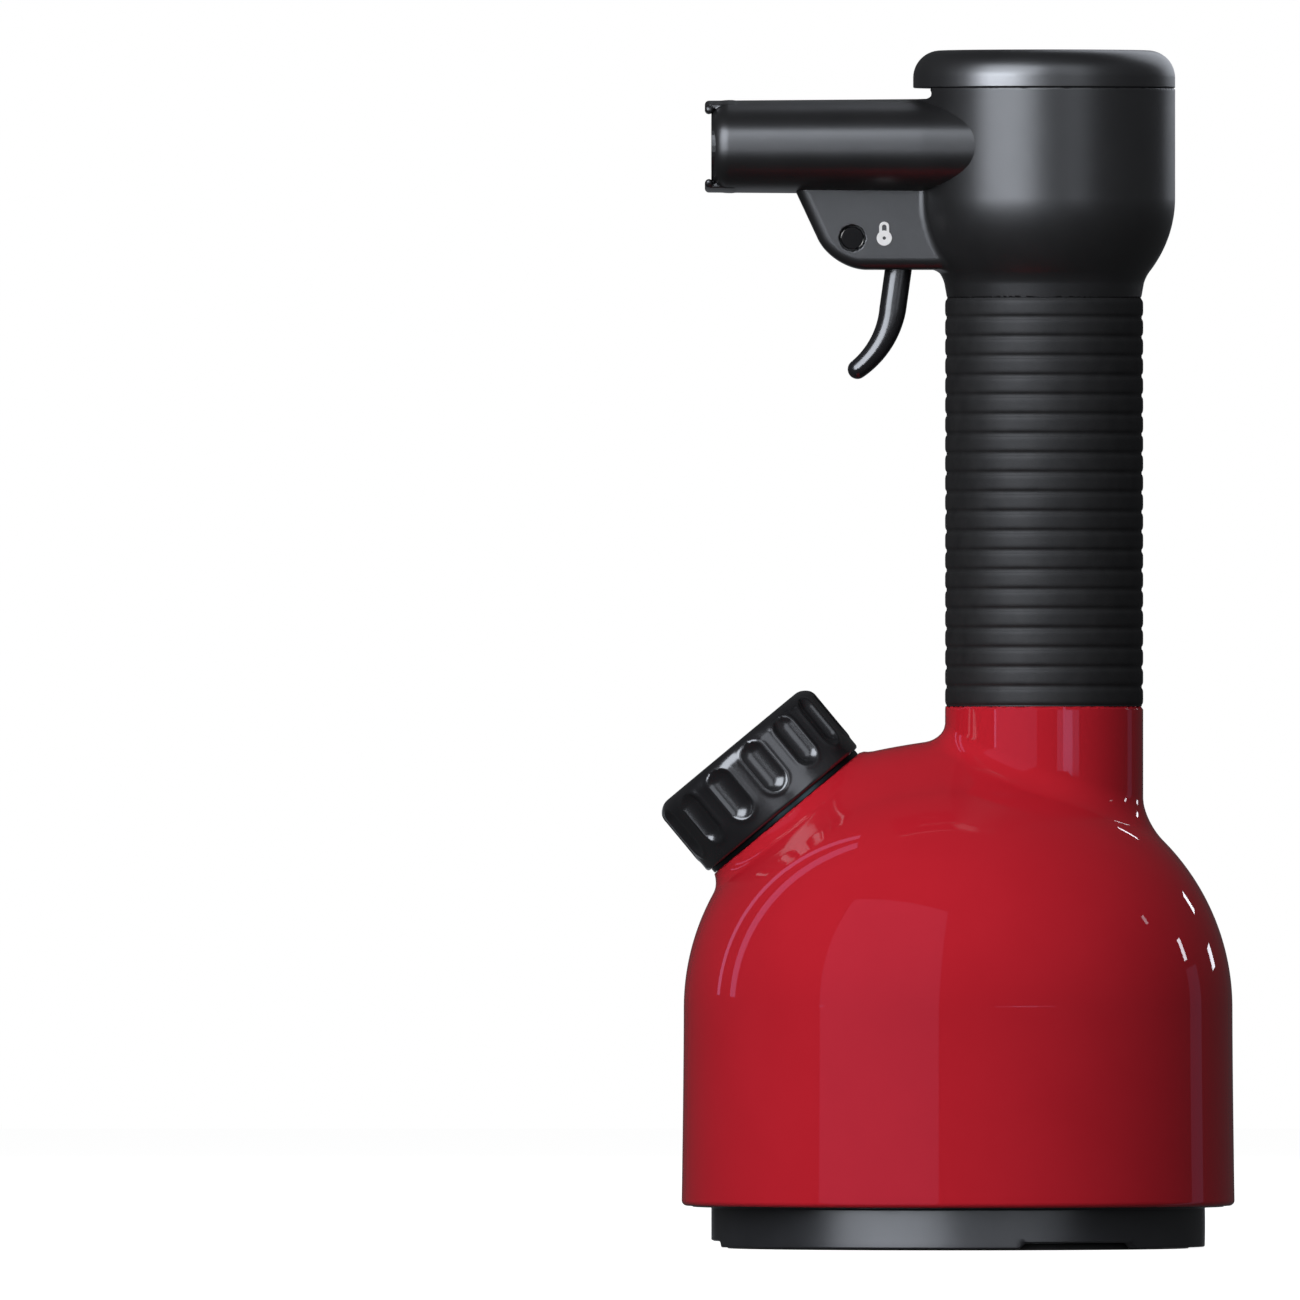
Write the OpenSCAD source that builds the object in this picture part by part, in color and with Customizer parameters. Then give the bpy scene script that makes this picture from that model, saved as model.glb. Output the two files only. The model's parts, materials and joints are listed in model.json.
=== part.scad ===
// Hand-held steam kettle: a glossy boiler body with a screw filler cap, a ribbed upright handle
// set behind the body's axis, and a black head with a wide steam nozzle, a trigger and its lock.
// Millimetres. +Z is up, -X is the way the steam leaves, and Z = 0 is the table.

/* [Overall] */
// Height from the table to the top of the lid
total_h = 330; // [328:1:332]
// Distance of the handle's axis behind the body's axis
handle_x = 23.7; // [23:0.1:24.5]

/* [Base] */
// Radius of the dark base ring
base_r = 68; // [67:0.5:69]
// Height of the base ring under the body
base_h = 11.7; // [11.5:0.1:12]
// Number of shallow notches in the foot of the base ring
notch_count = 3; // [2:1:4]

/* [Body] */
// Radius of the body shell at its foot
body_r = 76.2; // [75.5:0.1:77]
// Radius of the round shoulder
shoulder_r = 65.3; // [64.5:0.1:66]
// Height of the shoulder arc's centre
shoulder_z = 66.2; // [65:0.1:67]
// Wall of the body shell
shell_t = 2.6; // [2.2:0.1:3]
// Height of the neck's top edge, where the grip begins
neck_top = 149.3; // [148:0.1:151]

/* [Grip] */
// Radius of the grip and of the neck
grip_r = 27.3; // [27:0.1:27.8]
// Height of the grip's top edge
grip_top = 261.7; // [260:0.1:263]
// Number of ribs on the grip
rib_count = 21; // [16:1:24]

/* [Head] */
// Radius of the head
head_r = 36.1; // [35.5:0.1:36.6]
// Height of the centre of the head's round underside
bowl_z = 289.3; // [288.8:0.1:289.8]
// Height of the lid
lid_h = 10; // [9:0.5:11]

/* [Nozzle] */
// Half width of the oval nozzle
nozzle_a = 30; // [28:0.5:31]
// Half height of the oval nozzle
nozzle_b = 12.65; // [12.4:0.05:12.8]
// Reach of the nozzle's lips in front of the body's axis
nozzle_reach = 69.8; // [68:0.1:72]

/* [Filler cap] */
// Tilt of the cap's axis towards the nozzle side
cap_tilt = 39.7; // [39:0.1:40.5]
// Radius of the cap
cap_r = 26.85; // [26.5:0.05:27.2]
// Height of the cap
cap_h = 22.6; // [21.5:0.1:24]
// Number of finger flutes round the cap
flute_count = 14; // [10:1:16]

/* [Trigger] */
// Width of the trigger's finger lever
lever_w = 12; // [10:0.5:13]

/* [Hidden] */
$fn = 72;

gap = 0.1;       // clearance between parts that only touch
far = 200;       // longer than any part, for cuts that run right out

// Base
base_wall = 2.5;
foot_clear = 0.4;                    // the ring stands this far above the table, on the pad
pad_r = base_r - 4.5;
pad_t = 1.8;
floor_top = 4.2;
flange_bottom = base_h - 0.3;
flange_top = base_h + 1.8;
flange_r = body_r - shell_t - 0.35;
notch_angle = 30;
notch_top = 2.1;
screw_ring = body_r - 5.5;           // circle of the screws that hold the shell to the tray
screw_angles = [0, 120, 240];
post_r = 3.2;
board_x = -34;
board_y = -19;
board_z = 7.02;
board_t = 1.58;
board_holes = [for (x = [4, 48], y = [4, 34]) [board_x + x, board_y + y]];
gland_z = 6.6;
gland_r = 4.5;
cable_r = 3.3;
gland_len = 6;
button_angle = 30;
button_r = 3.6;
button_collar_r = 4.4;
button_z = 6.6;
button_room = 7.2;                   // depth of the room behind the ring for the button and its spring
lens_angle = 44;
lens_r = 1.6;

// Boiler
boiler_r = 46;
boiler_t = 3;
boiler_floor = 24;
seam_z = 56;                         // top of the lower flange
seal_t = 0.8;
flange_t = 4;
boiler_flange_r = 56;
bolt_ring = 51;
post_angles = [90, 210, 330];        // boiler's three posts
boiler_top = 84;
boiler_round = 18;                   // shoulder radius of the boiler's cover
element_ring = 30;
element_r = 3.3;
pin_angle = 19;                      // half the gap in the heating ring
shield_z = 14;

// Body shell
wall_top_r = body_r - 0.6;
shoulder_x = wall_top_r - shoulder_r;
neck_bore_r = grip_r - 2.4;
core_r = neck_bore_r - 0.4;
core_t = 2.2;
land_z = 104;                        // flat inner face round the handle's bore
land_r = grip_r + 1.7;
handle_nut_h = 6;

// Filler, along the cap's axis, measured from the cap's mouth
cap_x = -48.1;
cap_z = 120.7;
ring_t = 1.2;
boss_r = cap_r - 1.25;
boss_floor = 4.2;
neck_r = 13;
neck_in_r = 10.6;
neck_top_s = -0.9;
neck_bottom_s = -48;
nut_r = 18;
plug_r = 10.4;
plug_len = 12.5;
thread_pitch = 4;

// Head
lid_z = total_h - lid_h;
head_t = 2.6;
lid_round = 7.5;
notch_depth = 4.4;                   // relief under the lid's front lip
nozzle_z = 303.5;
nozzle_t = 2.2;
oval_power = 2.4;
lip_out = 1.6;
lip_h = 3;
house_w = 29;
house_t = 2.2;
house_bottom = 269.6;
house_front_lean = 25;               // degrees from vertical
lock_x = -29.2;
lock_z = 278.2;
lock_r = 3;
house_round = lock_z - house_bottom;
lock_travel = 3;
pivot_x = -15;
pivot_z = 284;
pin_r = 1.5;
valve_z = 277.5;
nose_x = -12;
nose_r = 3.75;
outlet_x = 11;
outlet_z = 305.5;
// [x, z, depth of the screw head's seat] of the four screws that join the head's halves
head_screw_points = [[49, 309, 17], [47, 279.5, 17], [-45, 296.9, 18], [-37, 286.3, 8]];

red = [0.72, 0.07, 0.12];
black = [0.09, 0.09, 0.10];
graphite = [0.20, 0.20, 0.22];
steel = [0.72, 0.72, 0.72];
brass = [0.78, 0.62, 0.30];
silicone = [0.75, 0.32, 0.20];

// ---------- helpers ----------

// Points on an arc
function arc(x, y, r, a0, a1, n = 10) =
    [for (i = [0:n]) let (a = a0 + (a1 - a0) * i / n) [x + r * cos(a), y + r * sin(a)]];

// Superellipse with half axes p and q
function oval(p, q, n = 56) =
    [for (i = [0:n - 1]) let (t = 360 * i / n, c = cos(t), s = sin(t))
        [p * sign(c) * pow(abs(c), 2 / oval_power), q * sign(s) * pow(abs(s), 2 / oval_power)]];

function unit(v) = v / norm(v);

// One ring of a swept tube: k points round point i of the path, square to its run
function ring_at(path, i, r, k) =
    let (last = len(path) - 1,
         along = unit(path[min(i + 1, last)] - path[max(i - 1, 0)]),
         side = unit(cross(along, abs(along[2]) > 0.9 ? [0, 1, 0] : [0, 0, 1])),
         up = cross(side, along))
    [for (j = [0:k - 1]) path[i] + r * (cos(360 * j / k) * side + sin(360 * j / k) * up)];

// Solid rod of radius r along a path
module rod(path, r, k = 8) {
    n = len(path);
    points = [for (i = [0:n - 1]) each ring_at(path, i, r, k)];
    sides = [for (i = [0:n - 2], j = [0:k - 1])
        [i * k + j, i * k + (j + 1) % k, (i + 1) * k + (j + 1) % k, (i + 1) * k + j]];
    ends = [[for (j = [k - 1:-1:0]) j], [for (j = [0:k - 1]) (n - 1) * k + j]];
    polyhedron(points, concat(sides, ends));
}

// Pipe with a bore along a path
module pipe(path, r_out, r_in, k = 16) {
    n = len(path);
    half = n * k;
    points = [for (r = [r_out, r_in], i = [0:n - 1]) each ring_at(path, i, r, k)];
    outside = [for (i = [0:n - 2], j = [0:k - 1])
        [i * k + j, i * k + (j + 1) % k, (i + 1) * k + (j + 1) % k, (i + 1) * k + j]];
    inside = [for (f = outside) [half + f[3], half + f[2], half + f[1], half + f[0]]];
    ends = [for (j = [0:k - 1], at = [0, n - 1])
        let (a = at * k + j, b = at * k + (j + 1) % k)
        at == 0 ? [a, half + a, half + b, b] : [b, half + b, half + a, a]];
    polyhedron(points, concat(outside, inside, ends));
}

// Coil spring round +Z from z0 to z1
module coil(r, wire, z0, z1, turns, per_turn = 14) {
    steps = turns * per_turn;
    rod([for (i = [0:steps]) let (a = 360 * i / per_turn)
        [r * cos(a), r * sin(a), z0 + wire + (z1 - z0 - 2 * wire) * i / steps]], wire, 6);
}

module ring(r_out, r_in, z0, z1) {
    translate([0, 0, z0]) difference() {
        cylinder(r = r_out, h = z1 - z0);
        translate([0, 0, -1]) cylinder(r = r_in, h = z1 - z0 + 2);
    }
}

module disc(r, z0, z1) {
    translate([0, 0, z0]) cylinder(r = r, h = z1 - z0);
}

module hex(r, z0, z1) {
    translate([0, 0, z0]) cylinder(r = r, h = z1 - z0, $fn = 6);
}

// Children are placed at equal angles round the body's axis
module around(angles, radius) {
    for (a = angles) rotate([0, 0, a]) translate([radius, 0, 0]) children();
}

module on_handle() {
    translate([handle_x, 0, 0]) children();
}

// Local +Z runs out of the filler along the cap's axis
module on_cap_axis() {
    translate([cap_x, 0, cap_z]) rotate([0, -cap_tilt, 0]) children();
}

// Local +Z runs along +X through the valve
module on_valve_axis() {
    translate([0, 0, valve_z]) rotate([0, 90, 0]) children();
}

// Local +Z runs along -Y through the point (x, z)
module across(x, z) {
    translate([x, 0, z]) rotate([90, 0, 0]) children();
}

// Local +Z runs outwards through the base ring's wall
module out_of_base(angle, z) {
    rotate([0, 0, angle]) translate([0, 0, z]) rotate([0, 90, 0]) children();
}

// ---------- body ----------

module body_half_section(inset) {
    bottom = inset > 0 ? base_h - 1 : base_h;
    polygon([[0, bottom], [body_r - inset, bottom], [wall_top_r - inset, shoulder_z], [0, shoulder_z]]);
    translate([shoulder_x, shoulder_z]) intersection() {
        circle(r = shoulder_r - inset);
        square(shoulder_r);
    }
    translate([0, shoulder_z]) square([shoulder_x, shoulder_r - inset]);
}

module body_room() {
    difference() {
        union() {
            rotate_extrude() body_half_section(shell_t);
            on_cap_axis() disc(nut_r + 1, -30, -boss_floor);
        }
        on_handle() disc(land_r, land_z, neck_top);
        on_cap_axis() disc(boss_r, -boss_floor, cap_h);
        around(screw_angles, screw_ring) disc(post_r, flange_top + gap, 28);
    }
}

module body_shell() {
    color(red) difference() {
        union() {
            rotate_extrude() body_half_section(0);
            on_handle() disc(grip_r, shoulder_z, neck_top);
            on_cap_axis() disc(boss_r, -22, -ring_t);
        }
        body_room();
        on_handle() disc(neck_bore_r, shoulder_z, neck_top + 1);
        on_cap_axis() disc(neck_r + 0.2, -40, 10);
        around(screw_angles, screw_ring) disc(1.1, flange_top, 26);
    }
}

module base_tray() {
    color(graphite) difference() {
        union() {
            ring(base_r, base_r - base_wall, foot_clear, flange_top);
            disc(base_r - 1, pad_t, floor_top);
            ring(flange_r, base_r - 1, flange_bottom, flange_top);
            for (p = board_holes) translate(p) disc(2.6, floor_top - 1, board_z - 0.02);
        }
        for (p = board_holes) translate(p) disc(1.15, pad_t + 0.6, board_z + 1);
        for (i = [0:notch_count - 1]) rotate([0, 0, 180 + i * 360 / notch_count - notch_angle / 2])
            rotate_extrude(angle = notch_angle)
                translate([base_r - base_wall - 1, 0]) square([10, notch_top]);
        translate([0, 0, -1]) cylinder(r = pad_r + gap, h = pad_t + 1);
        out_of_base(0, gland_z) disc(gland_r + 0.05, base_r - 12, base_r + 2);
        out_of_base(button_angle, button_z) {
            disc(button_r + gap, base_r - button_room, base_r + 2);
            disc(button_collar_r + gap, base_r - button_room, base_r - base_wall - 0.5);
        }
        out_of_base(lens_angle, button_z) disc(lens_r + 0.05, base_r - 7, base_r + 2);
        around(screw_angles, screw_ring) {
            disc(1.3, flange_bottom - 1, flange_top + 1);
            disc(2.4, flange_bottom - 1, flange_bottom + 1.3);
        }
    }
}

module base_pad() {
    color(black) disc(pad_r, 0, pad_t - 0.02);
}

module base_screws() {
    color(steel) around(screw_angles, screw_ring) {
        disc(1.05, flange_bottom + 0.2, 25);
        disc(2.2, flange_bottom + 0.1, flange_bottom + 1.25);
    }
}

module cord_gland() {
    color(black) out_of_base(0, gland_z) difference() {
        disc(gland_r, base_r - gland_len, base_r);
        disc(cable_r, base_r - gland_len - 1, base_r + 1);
    }
}

module power_button() {
    color(graphite) out_of_base(button_angle, button_z) {
        disc(button_r, base_r - 4.6, base_r + 0.6);
        disc(button_collar_r, base_r - 4.8, base_r - 3.6);
    }
}

module power_button_spring() {
    color(steel) out_of_base(button_angle, button_z) coil(2.4, 0.3, base_r - 7.1, base_r - 4.85, 3);
}

module power_switch() {
    color(black) rotate([0, 0, button_angle]) difference() {
        translate([base_r - 18, -5, floor_top]) cube([10.8, 10, 6.6]);
        translate([base_r - 19, -1, floor_top + 5.4]) cube([9, 2, 2]);
    }
}

module indicator_lens() {
    color([0.9, 0.95, 1]) out_of_base(lens_angle, button_z) {
        disc(lens_r, base_r - 4, base_r + 0.1);
        disc(lens_r + 0.7, base_r - 4.4, base_r - 3.4);
    }
}

// ---------- electrics ----------

module control_board() {
    color([0.10, 0.32, 0.18]) difference() {
        translate([board_x, board_y, board_z]) cube([52, 38, board_t]);
        for (p = board_holes) translate(p) disc(1.3, board_z - 1, board_z + board_t + 1);
    }
}

module board_screws() {
    top = board_z + board_t;
    color(steel) for (p = board_holes) translate(p) {
        disc(1.1, pad_t + 1, top + 0.5);
        disc(2.2, top + 0.02, top + 1.5);
    }
}

module board_components() {
    seat = board_z + board_t + 0.05;
    color(graphite) {
        translate([-26, -8, seat]) cube([16, 13, 4.6]);
        translate([-4, 8, seat]) cylinder(r = 3.4, h = 4.6);
        translate([-8, -14, seat]) cube([10, 5, 3.4]);
        for (y = [-11.5, 4.5]) translate([7, y, seat]) cube([9, 7, 4]);
    }
}

module internal_leads() {
    color([0.15, 0.25, 0.55]) for (s = [-1, 1])
        rod([[base_r - gland_len - 0.6, 1.4 * s, gland_z], [54, 3 * s, 6.8], [46, 6 * s, 8.2], [36, 7.5 * s, 10.2],
             [27, 8 * s, 10.8], [16.1, 8 * s, 10.8]], 1.1, 8);
}

module heat_shield() {
    color(steel) difference() {
        disc(54, shield_z, shield_z + 0.8);
        around(post_angles, bolt_ring) disc(4.05, shield_z - 1, shield_z + 2);
        around([-pin_angle, pin_angle], element_ring) disc(3, shield_z - 1, shield_z + 2);
        disc(10, shield_z - 1, shield_z + 2);
    }
}

module heating_element() {
    pin_bottom = 13;
    color(graphite) {
        rotate([0, 0, pin_angle]) rotate_extrude(angle = 360 - 2 * pin_angle)
            translate([element_ring, boiler_floor - element_r - 0.05]) circle(r = element_r);
        around([-pin_angle, pin_angle], element_ring) disc(1.4, pin_bottom, boiler_floor - element_r);
    }
}

module thermostat() {
    color(steel) {
        disc(12, 19, boiler_floor - 0.05);
        disc(9, 15.5, 19.2);
        for (x = [-4, 4]) translate([x - 0.4, -3, 11]) cube([0.8, 6, 5]);
    }
}

module thermal_fuse() {
    color(steel) translate([-7, 19, boiler_floor - 2.6]) rotate([0, 90, 0]) {
        cylinder(r = 2.5, h = 14);
        translate([0, 0, -4]) cylinder(r = 0.6, h = 22);
    }
}

// ---------- boiler ----------

module boiler_posts() {
    color(steel) around(post_angles, bolt_ring) {
        disc(4, floor_top + 0.02, seam_z - flange_t - 0.02);
        disc(2, seam_z - flange_t - 1, 66);
        hex(4, seam_z + seal_t + flange_t + 0.05, 64);
    }
}

module flange_holes() {
    around([for (i = [0:11]) i * 30], bolt_ring) disc(2.1, seam_z - 10, seam_z + 10);
}

module boiler_lower() {
    color([0.62, 0.62, 0.64]) difference() {
        rotate_extrude() polygon(concat(
            [[0, boiler_floor]], arc(boiler_r - 4, boiler_floor + 4, 4, -90, 0, 5),
            [[boiler_r, seam_z - flange_t], [boiler_flange_r, seam_z - flange_t],
             [boiler_flange_r, seam_z], [boiler_r - boiler_t, seam_z],
             [boiler_r - boiler_t, boiler_floor + 5], [boiler_r - boiler_t - 2, boiler_floor + boiler_t],
             [0, boiler_floor + boiler_t]]));
        flange_holes();
    }
}

module boiler_cover_section(inset) {
    low = seam_z + seal_t - (inset > 0 ? 1 : 0);
    polygon(concat(
        [[0, low], [boiler_r - inset, low]],
        arc(boiler_r - boiler_round, boiler_top - boiler_round, boiler_round - inset, 0, 90, 12),
        [[0, boiler_top - inset]]));
}

module boiler_upper() {
    color([0.62, 0.62, 0.64]) difference() {
        union() {
            rotate_extrude() boiler_cover_section(0);
            disc(boiler_flange_r, seam_z + seal_t, seam_z + seal_t + flange_t);
            on_cap_axis() disc(neck_r + 2.5, -56, -40);
            on_handle() disc(9, boiler_top - 8, 92);
        }
        rotate_extrude() boiler_cover_section(boiler_t);
        on_cap_axis() disc(neck_r + 0.05, -58, -38);
        on_handle() disc(2, boiler_top - 10, 95);
        on_handle() disc(3.05, 88, 95);
        flange_holes();
    }
}

module boiler_seal() {
    color(silicone) difference() {
        ring(boiler_flange_r - 0.5, boiler_r - boiler_t, seam_z, seam_z + seal_t);
        flange_holes();
    }
}

module flange_bolts() {
    top = seam_z + seal_t + flange_t;
    color(steel) around([for (i = [0:5]) i * 60], bolt_ring) {
        disc(2, seam_z - flange_t - 5, top + 1);
        hex(3.6, top + 0.02, top + 3);
        hex(3.6, seam_z - flange_t - 3.2, seam_z - flange_t - 0.02);
    }
}

module insulation_jacket() {
    color([0.86, 0.83, 0.76]) ring(boiler_flange_r + 5, boiler_flange_r + 0.1, 16, 78);
}

// ---------- filler ----------

module filler_neck() {
    color(brass) on_cap_axis() ring(neck_r, neck_in_r, neck_bottom_s, neck_top_s);
}

module filler_nut() {
    color(brass) on_cap_axis() difference() {
        hex(nut_r, -boss_floor - 4, -boss_floor - gap);
        disc(neck_r + 0.05, -boss_floor - 5, 0);
    }
}

module filler_ring() {
    color([0.85, 0.85, 0.87]) on_cap_axis() ring(cap_r - 0.55, neck_r + 1.2, -ring_t + 0.02, 0);
}

module flute_cutter() {
    cut_r = 4;
    reach = 5;
    rotate_extrude($fn = 32) polygon(concat(
        arc(0, -reach, cut_r, -90, 0, 6), arc(0, reach, cut_r, 0, 90, 6)));
}

module cap_knob() {
    edge = 4;
    color(black) on_cap_axis() difference() {
        rotate_extrude() polygon(concat(
            [[22.8, 0.2], [cap_r - 0.4, 0.2], [cap_r, 0.7]],
            arc(cap_r - edge, cap_h - edge, edge, 0, 90, 8),
            [[0, cap_h], [0, 19], [8.6, 19], [8.6, 9], [11, 9], [11, 19], [22.8, 19]]));
        for (i = [0:flute_count - 1]) rotate([0, 0, (i + 0.5) * 360 / flute_count + 6.4 + 90])
            translate([cap_r + 2.1, 0, cap_h / 2 - 0.8]) flute_cutter();
    }
}

module cap_insert() {
    thread_low = -11.5;
    ridges = 5;
    color(brass) on_cap_axis() rotate_extrude() polygon(concat(
        [[2.2, -plug_len], [plug_r - 1, -plug_len]],
        [for (i = [0:ridges - 1]) let (z = thread_low + 2 * i)
            each [[plug_r - 0.8, z], [plug_r, z + 0.6], [plug_r, z + 1], [plug_r - 0.8, z + 1.6]]],
        [[plug_r - 0.8, 0.32], [neck_r + 0.8, 0.32], [neck_r + 0.8, 3.3], [8.5, 3.3], [8.5, 18.8],
         [5, 18.8], [5, -6], [2.2, -6]]));
}

module cap_seal() {
    color(silicone) on_cap_axis() ring(neck_r + 0.4, plug_r + gap, neck_top_s, 0.3);
}

module relief_poppet() {
    color(brass) on_cap_axis() rotate_extrude()
        polygon([[0, -5.95], [4.5, -5.95], [4.5, -3.5], [1.4, -3.5], [1.4, 13], [0, 13]]);
}

module relief_spring() {
    color(steel) on_cap_axis() coil(3.2, 0.45, -3.45, 10.95, 7);
}

module relief_adjuster() {
    color(brass) on_cap_axis() ring(4.95, 1.7, 11, 14);
}

// ---------- steam path and handle ----------

module steam_pipe() {
    color(steel) on_handle() ring(3, 2, 88.05, 267);
}

module pipe_nuts() {
    color(brass) on_handle() for (z = [92.05, 255.95]) difference() {
        hex(7.5, z, z + 6);
        disc(3.05, z - 1, z + 7);
    }
}

module handle_core() {
    color(graphite) on_handle() ring(core_r, core_r - core_t, land_z - handle_nut_h, 268);
}

module handle_nut() {
    color(black) on_handle() difference() {
        ring(land_r + 1, core_r + 0.05, land_z - handle_nut_h, land_z - gap);
        for (i = [0:7]) rotate([0, 0, 45 * i]) translate([land_r, 0, 0])
            disc(1.5, land_z - handle_nut_h - 1, land_z + 1);
    }
}

// Ribs are gently crowned and parted by narrow grooves
module grip_sleeve() {
    pitch = (grip_top - neck_top) / rib_count;
    groove = 0.9;
    half_groove = 0.5;
    color(black) on_handle() rotate_extrude() polygon(concat(
        [[core_r + 0.05, grip_top], [core_r + 0.05, neck_top + gap], [grip_r - groove, neck_top + gap]],
        [for (i = [0:rib_count - 1]) let (z = neck_top + i * pitch)
            each [[grip_r - groove, z + half_groove], [grip_r - 0.3, z + half_groove + 0.3],
                  [grip_r, z + pitch * 0.35], [grip_r, z + pitch * 0.65],
                  [grip_r - 0.3, z + pitch - half_groove - 0.3], [grip_r - groove, z + pitch - half_groove]]],
        [[grip_r - groove, grip_top]]));
}

// ---------- head ----------

module head_round(inset, low, high) {
    on_handle() {
        intersection() {
            translate([0, 0, bowl_z]) sphere(r = head_r - inset);
            disc(far, low, bowl_z);
        }
        disc(head_r - inset, bowl_z, high);
    }
}

module nozzle_solid(inset, x_front) {
    back = handle_x - 18;
    translate([back, 0, nozzle_z]) rotate([0, -90, 0]) linear_extrude(back - x_front)
        polygon(oval(nozzle_b - inset, nozzle_a - inset));
}

// Side outline of the trigger housing: a leaning front, and a corner round the lock button
function house_outline(inset, top) =
    let (r = house_round - inset, lean = house_front_lean,
         toe = [lock_x - r * cos(lean), lock_z - r * sin(lean)],
         rise = top - toe[1])
    concat([[toe[0] - rise * tan(lean), top]],
           arc(lock_x, lock_z, r, 180 + lean, 270, 8),
           [[handle_x - 25, lock_z - r], [handle_x - 25, top]]);

module house_solid(inset, width, top) {
    translate([0, width / 2, 0]) rotate([90, 0, 0]) linear_extrude(width)
        polygon(house_outline(inset, top));
}

module head_outer() {
    on_handle() disc(grip_r, grip_top, bowl_z - 10);
    head_round(0, grip_top, lid_z);
    nozzle_solid(0, -nozzle_reach);
    house_solid(0, house_w, 296);
}

module head_inner() {
    on_handle() disc(core_r + gap, grip_top - 1, bowl_z);
    head_round(head_t, grip_top, lid_z + 1);
    nozzle_solid(nozzle_t, -nozzle_reach - 1);
    house_solid(house_t, house_w - 2 * house_t, nozzle_z - nozzle_b - 0.4);
}

module head_inside_parts() {
    wall_x = handle_x - head_r + notch_depth;
    translate([wall_x - 12, -40, nozzle_z + nozzle_b - nozzle_t]) cube([14.4, 80, 20]);
    for (p = head_screw_points) across(p[0], p[1]) disc(4.4, -40, 40);
    across(pivot_x, pivot_z) {
        disc(3.4, 8.3, 13);
        disc(3.4, -13, -8.3);
    }
}

module head_cuts() {
    wall_x = handle_x - head_r + notch_depth;
    notch_h = 3.9;
    // relief under the lid's front lip, with a round end
    translate([wall_x - 12 - notch_h / 2, -40, lid_z - notch_h]) cube([12, 80, notch_h + 1]);
    across(wall_x - notch_h / 2, lid_z - notch_h / 2) disc(notch_h / 2, -40, 40);
    // the mouth's sides are set back between its lips
    translate([-nozzle_reach - 5, -50, nozzle_z - nozzle_b + lip_h])
        cube([5 + lip_out, 100, 2 * (nozzle_b - lip_h)]);
    // trigger slot
    translate([-21.8, -lever_w / 2 - 0.7, 265]) cube([14.3, lever_w + 1.4, 8]);
    across(lock_x, lock_z) {
        disc(lock_r + gap, -20, 20);
        disc(lock_r + 0.7, house_w / 2 - 0.9, 20);
        disc(lock_r + 0.7, -20, -house_w / 2 + 0.9);
    }
    across(pivot_x, pivot_z) disc(pin_r + 0.02, -12.35, 12.35);
    for (p = head_screw_points) across(p[0], p[1]) {
        disc(1.45, 0, 12);
        disc(1.7, -p[2] - 1, 0);
        disc(3.1, -40, -p[2]);
    }
}

module head_shell() {
    difference() {
        union() {
            difference() {
                head_outer();
                head_inner();
            }
            intersection() {
                head_outer();
                head_inside_parts();
            }
        }
        head_cuts();
    }
}

module head_left_half() {
    color(black) intersection() {
        head_shell();
        translate([-far / 2, -far, far]) cube([far, far - 0.03, far]);
    }
}

module head_right_half() {
    color(black) intersection() {
        head_shell();
        translate([-far / 2, 0.03, far]) cube([far, far, far]);
    }
}

module head_screws() {
    color(steel) for (p = head_screw_points) across(p[0], p[1]) {
        disc(1.4, -p[2] - 0.5, 11);
        disc(2.9, -p[2] - 2, -p[2] - 0.02);
    }
}

module head_lid() {
    skin = 2.6;
    color(black) difference() {
        on_handle() rotate_extrude() polygon(concat(
            [[head_r - skin - 2.2, lid_z - 3.5], [head_r - skin - 0.2, lid_z - 3.5],
             [head_r - skin - 0.2, lid_z + 0.1], [head_r - 0.3, lid_z + 0.1], [head_r, lid_z + 0.5]],
            arc(head_r - lid_round, total_h - lid_round, lid_round, 0, 90, 12),
            [[0, total_h], [0, total_h - skin], [head_r - lid_round, total_h - skin]],
            arc(head_r - lid_round, total_h - lid_round, lid_round - skin - 2.2, 90, 0, 6)));
        translate([handle_x - head_r - 1, -40, lid_z - 5]) cube([8.2, 80, 5.1]);
    }
}

// ---------- nozzle ----------

module nozzle_plate() {
    front = nozzle_reach - lip_out - 0.2;
    color(graphite) difference() {
        translate([-front + 2.4, 0, nozzle_z]) rotate([0, -90, 0]) linear_extrude(2.4)
            polygon(oval(nozzle_b - nozzle_t - gap, nozzle_a - nozzle_t - gap));
        for (y = [-16:8:16]) translate([-front - 1, y, nozzle_z]) rotate([0, 90, 0]) cylinder(r = 1.1, h = 5);
        for (y = [-12:8:12], z = [-3.6, 3.6])
            translate([-front - 1, y, nozzle_z + z]) rotate([0, 90, 0]) cylinder(r = 1.1, h = 5);
    }
}

module manifold_ring(p, q, t, x_front, depth) {
    translate([x_front + depth, 0, nozzle_z]) rotate([0, -90, 0]) linear_extrude(depth) difference() {
        polygon(oval(p, q));
        polygon(oval(p - t, q - t));
    }
}

module nozzle_seal() {
    color(silicone) manifold_ring(7.4, 21.5, 1.6, -nozzle_reach + 4.25, 1);
}

module steam_manifold() {
    front = -nozzle_reach + 5.3;
    color(steel) {
        manifold_ring(7.4, 21.5, 1.6, front, 7);
        translate([front + 8.2, 0, nozzle_z]) rotate([0, -90, 0]) difference() {
            linear_extrude(1.6) polygon(oval(7.4, 21.5));
            translate([outlet_z - nozzle_z, 0, -1]) cylinder(r = 3.05, h = 4);
        }
    }
}

module outlet_pipe() {
    bend = 9;
    end_x = -nozzle_reach + 12.2;
    corner = [for (p = arc(outlet_x - bend, outlet_z - bend, bend, 0, 90, 8)) [p[0], 0, p[1]]];
    color(steel) pipe(concat([[outlet_x, 0, 284.1]], corner, [[end_x, 0, outlet_z]]), 3, 2);
}

// ---------- steam valve ----------

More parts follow.
